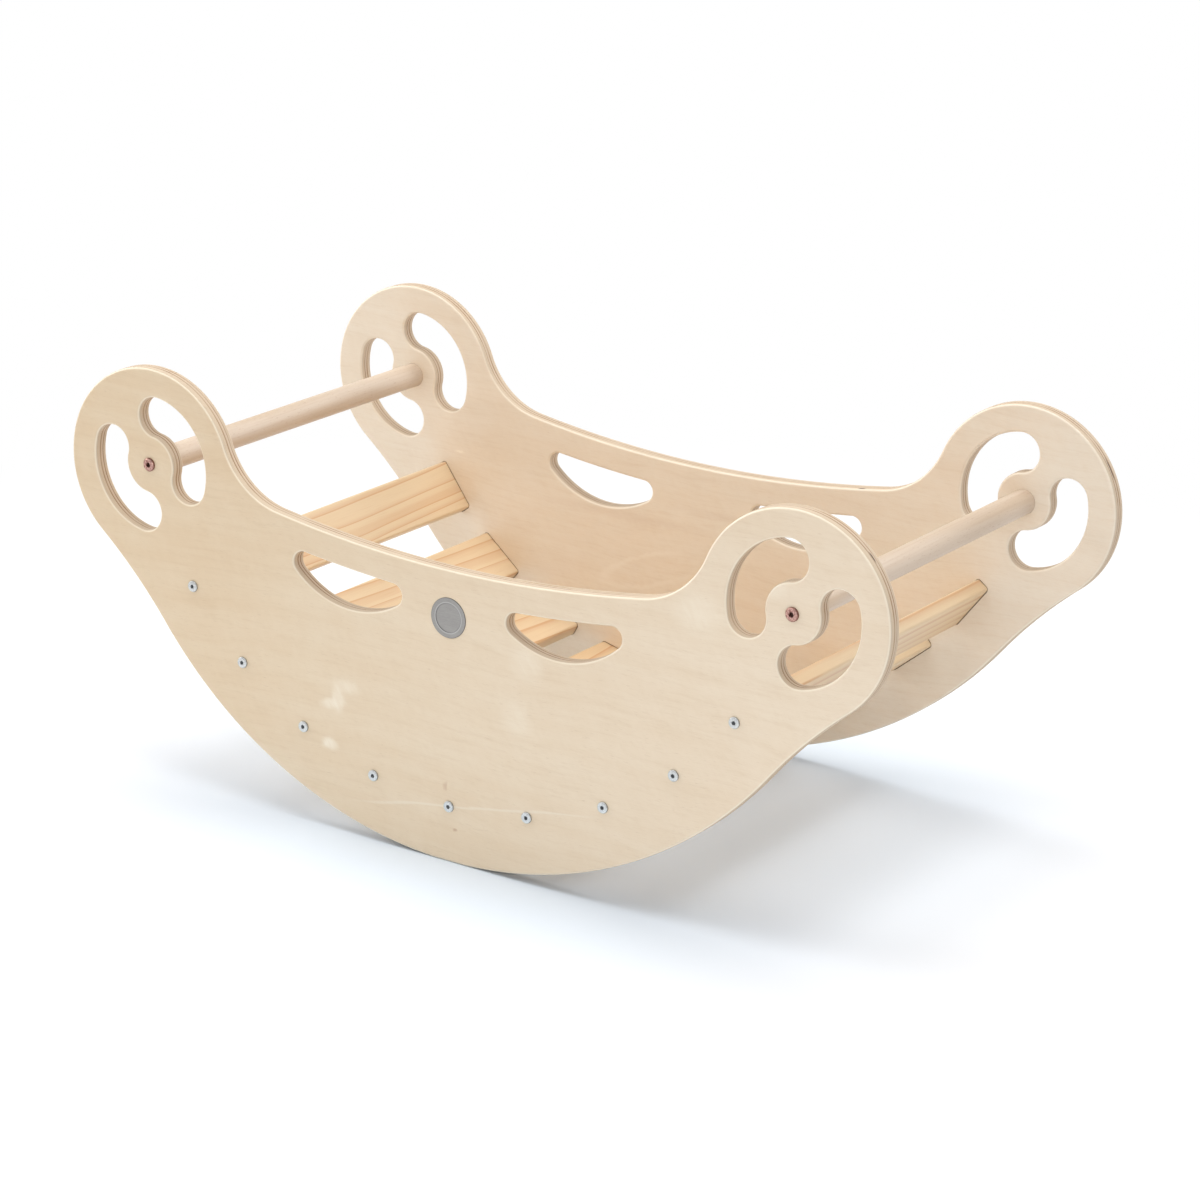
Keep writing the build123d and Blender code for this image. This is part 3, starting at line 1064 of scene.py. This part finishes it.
floor_half = 6.0
# painted shade: near the arch the floor is cooler and darker, against the wood's warm bounce light in its
# shadow
floor_painted_cool_near_arch = (0.77, 0.845, 0.93, 1.0)
floor_beyond = (0.85, 0.85, 0.86, 1.0)
pure_white = (1.0, 1.0, 1.0, 1.0)
room_light = 0.43
shadow_floor, w = new_finish("pale_floor")
seen = w.make("ShaderNodeLightPath", {}, {}, ("Is Camera Ray", "Is Glossy Ray"))
x, y, z = w.make("ShaderNodeTexCoord", {}, {}, "Object").axes()
reach = x.away(y)
far = reach.rise(0.75, 1.4)
shade = reach.rise(0.3, 0.7).blend(floor_painted_cool_near_arch, floor_beyond)
lit = w.make("ShaderNodeBsdfDiffuse", {}, {"Color": shade})
white = w.make("ShaderNodeEmission", {}, {"Color": pure_white, "Strength": 1.0})
plain = seen[0].sum("MAXIMUM", seen[1])
both = w.make("ShaderNodeMixShader", {}, {0: far * plain, 1: lit, 2: white})
w.make("ShaderNodeOutputMaterial", {}, {"Surface": both})
floor_mesh = bpy.data.meshes.new("floor")
corners = [(-1, -1), (1, -1), (1, 1), (-1, 1)]
floor_mesh.from_pydata([(x * floor_half, y * floor_half, 0.0) for x, y in corners], [], [(0, 1, 2, 3)])
floor_mesh.materials.append(shadow_floor)
floor = bpy.data.objects.new("floor", floor_mesh)
bpy.context.scene.collection.objects.link(floor)

room = bpy.data.worlds.new("white_room")
room.use_nodes = True
room.node_tree.nodes.clear()
w = Wire(room.node_tree)
seen = w.make("ShaderNodeLightPath", {}, {}, "Is Camera Ray")
strength = room_light + (1 - room_light) * seen
sky = w.make("ShaderNodeBackground", {}, {"Color": pure_white, "Strength": strength})
w.make("ShaderNodeOutputWorld", {}, {"Surface": sky})
bpy.context.scene.world = room


def softbox(name, place, aim, across, tall, power):
    """A light panel at a place, turned to its aim."""
    lamp = bpy.data.lights.new(name, "AREA")
    lamp.shape = "RECTANGLE"
    lamp.size = across
    lamp.size_y = tall
    lamp.energy = power
    box = bpy.data.objects.new(name, lamp)
    box.location = place
    box.rotation_euler = (Vector(aim) - Vector(place)).to_track_quat("-Z", "Y").to_euler()
    bpy.context.scene.collection.objects.link(box)


arch_middle = (0.0, 0.0, 0.25)
almost_plumb = (0.05, -0.0999, 0.0)
softbox("overhead", (0.05, -0.1, 3.0), almost_plumb, 4.4, 2.2, 85.0)
softbox("left", (-3.6, 0.0, 1.6), arch_middle, 4.1, 2.0, 78.0)
softbox("back", (1.2, 4.0, 1.6), arch_middle, 3.3, 2.0, 70.0)
softbox("front", (2.2, -3.5, 1.6), arch_middle, 1.7, 2.0, 22.0)

camera_place = Vector((2.12865, -3.24338, 1.51046))
camera_azimuth = math.radians(33.055)
camera_height = math.radians(18.397)
camera_roll = math.radians(1.775)
sensor_width = 36.0
focal_length = 115.864
back = Vector(
    (
        math.sin(camera_azimuth) * math.cos(camera_height),
        -math.cos(camera_azimuth) * math.cos(camera_height),
        math.sin(camera_height),
    )
)
level = Vector((math.cos(camera_azimuth), math.sin(camera_azimuth), 0.0))
upright = back.cross(level)
right = level * math.cos(camera_roll) + upright * math.sin(camera_roll)
up = upright * math.cos(camera_roll) - level * math.sin(camera_roll)
lens = bpy.data.cameras.new("camera")
lens.sensor_width = sensor_width
lens.lens = focal_length
camera = bpy.data.objects.new("camera", lens)
camera.matrix_world = Matrix.Translation(camera_place) @ Matrix((right, up, back)).transposed().to_4x4()
bpy.context.scene.collection.objects.link(camera)
bpy.context.scene.camera = camera
bpy.context.scene.view_settings.view_transform = "Standard"
